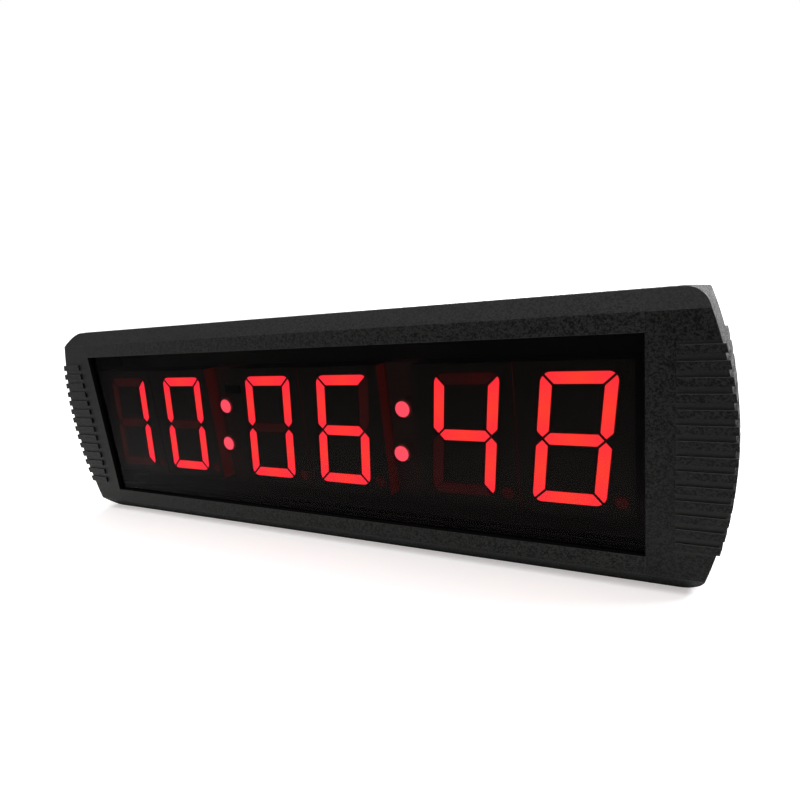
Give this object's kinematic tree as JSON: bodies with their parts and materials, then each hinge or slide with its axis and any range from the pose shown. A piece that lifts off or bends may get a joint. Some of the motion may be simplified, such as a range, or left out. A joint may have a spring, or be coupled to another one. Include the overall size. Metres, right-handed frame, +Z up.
{
  "type": "gym round timer",
  "caption": "Wall or table interval timer: shallow black case with ribbed end caps and large red seven-segment digits behind a smoked window.",
  "frame": {"origin": "middle of the case's width and depth, on the surface it stands on", "axes": "+X to the viewer's right along the length, +Y from the display towards the back, +Z up"},
  "size_m": [0.3092, 0.0378, 0.0932],
  "materials": {
    "rail_coat": "fine textured charcoal powder coat on extruded aluminium",
    "cap_plastic": "fine sand-textured charcoal ABS",
    "zinc_screw": "zinc plated",
    "smoked_window": "dark smoked gloss acrylic",
    "black_foam": "closed-cell foam",
    "panel_plastic": "fine textured black sheet",
    "black_board": "black solder mask",
    "digit_case": "matt black, painted face",
    "segment_lit": "lit red diffuser",
    "segment_dark": "unlit red diffuser",
    "lamp_lit": "lit red lamp",
    "lamp_holder": "moulded black",
    "receiver_epoxy": "dark infrared-pass epoxy",
    "green_board": "green solder mask",
    "brass_spacer": "turned",
    "chip_epoxy": "moulded chip epoxy",
    "crystal_can": "drawn can",
    "capacitor_can": "drawn can",
    "black_moulding": "moulded black",
    "cell_steel": "stainless",
    "connector_nylon": "natural nylon",
    "red_lead": "soft wire insulation",
    "contact_brass": "plated pin",
    "nut_steel": "nickel plated",
    "rocker_plastic": "polished black",
    "button_plastic": "dark grey moulded",
    "hanger_steel": "zinc plated sheet"
  },
  "bodies": {
    "case": {"top_rail": "rail_coat", "bottom_rail": "rail_coat", "left_end_cap": "cap_plastic", "right_end_cap": "cap_plastic", "end_cap_screws": "zinc_screw", "screw_plugs": "cap_plastic", "display_window": "smoked_window", "window_seals": "black_foam", "back_panel": "panel_plastic", "display_board": "black_board", "digit_1_housing": "digit_case", "digit_2_housing": "digit_case", "digit_3_housing": "digit_case", "digit_4_housing": "digit_case", "digit_5_housing": "digit_case", "digit_6_housing": "digit_case", "digit_1_lit": "segment_lit", "digit_2_lit": "segment_lit", "digit_3_lit": "segment_lit", "digit_4_lit": "segment_lit", "digit_5_lit": "segment_lit", "digit_6_lit": "segment_lit", "digit_1_unlit": "segment_dark", "digit_2_unlit": "segment_dark", "digit_3_unlit": "segment_dark", "digit_4_unlit": "segment_dark", "digit_5_unlit": "segment_dark", "digit_6_unlit": "segment_dark", "colon_holders": "lamp_holder", "colon_lamps": "lamp_lit", "ir_receiver": "receiver_epoxy", "control_board": "green_board", "board_spacers": "brass_spacer", "board_screws": "zinc_screw", "board_link": "black_moulding", "microcontroller": "chip_epoxy", "segment_drivers": "chip_epoxy", "clock_chip": "chip_epoxy", "crystal": "crystal_can", "voltage_regulator": "chip_epoxy", "capacitors": "capacitor_can", "coin_cell_holder": "black_moulding", "coin_cell": "cell_steel", "buzzer": "black_moulding", "power_connector": "connector_nylon", "power_leads": "red_lead", "dc_jack": "black_moulding", "dc_jack_pin": "contact_brass", "dc_jack_nut": "nut_steel", "power_switch_body": "black_moulding", "button_switches": "black_moulding"},
    "power_rocker": {"power_rocker": "rocker_plastic"},
    "mode_button": {"mode_button": "button_plastic"},
    "set_button": {"set_button": "button_plastic"},
    "plus_button": {"plus_button": "button_plastic"},
    "minus_button": {"minus_button": "button_plastic"},
    "left_hanger": {"left_hanger": "hanger_steel"},
    "right_hanger": {"right_hanger": "hanger_steel"}
  },
  "joints": [
    {"name": "power_rocker_tilt", "type": "hinge", "parent": "case", "child": "power_rocker", "pos_m": [0.101, 0.0134, 0.0466], "axis": [0, 0, 1], "range_deg": [0, 18]},
    {"name": "mode_button_press", "type": "slide", "parent": "case", "child": "mode_button", "axis": [0, -1, 0], "range_m": [0, 0.0006], "stiffness_N_per_m": 300},
    {"name": "set_button_press", "type": "slide", "parent": "case", "child": "set_button", "axis": [0, -1, 0], "range_m": [0, 0.0006], "stiffness_N_per_m": 300},
    {"name": "plus_button_press", "type": "slide", "parent": "case", "child": "plus_button", "axis": [0, -1, 0], "range_m": [0, 0.0006], "stiffness_N_per_m": 300},
    {"name": "minus_button_press", "type": "slide", "parent": "case", "child": "minus_button", "axis": [0, -1, 0], "range_m": [0, 0.0006], "stiffness_N_per_m": 300},
    {"name": "left_hanger_slide", "type": "slide", "parent": "case", "child": "left_hanger", "axis": [1, 0, 0], "range_m": [-0.02, 0.02]},
    {"name": "right_hanger_slide", "type": "slide", "parent": "case", "child": "right_hanger", "axis": [1, 0, 0], "range_m": [-0.02, 0.02]}
  ]
}
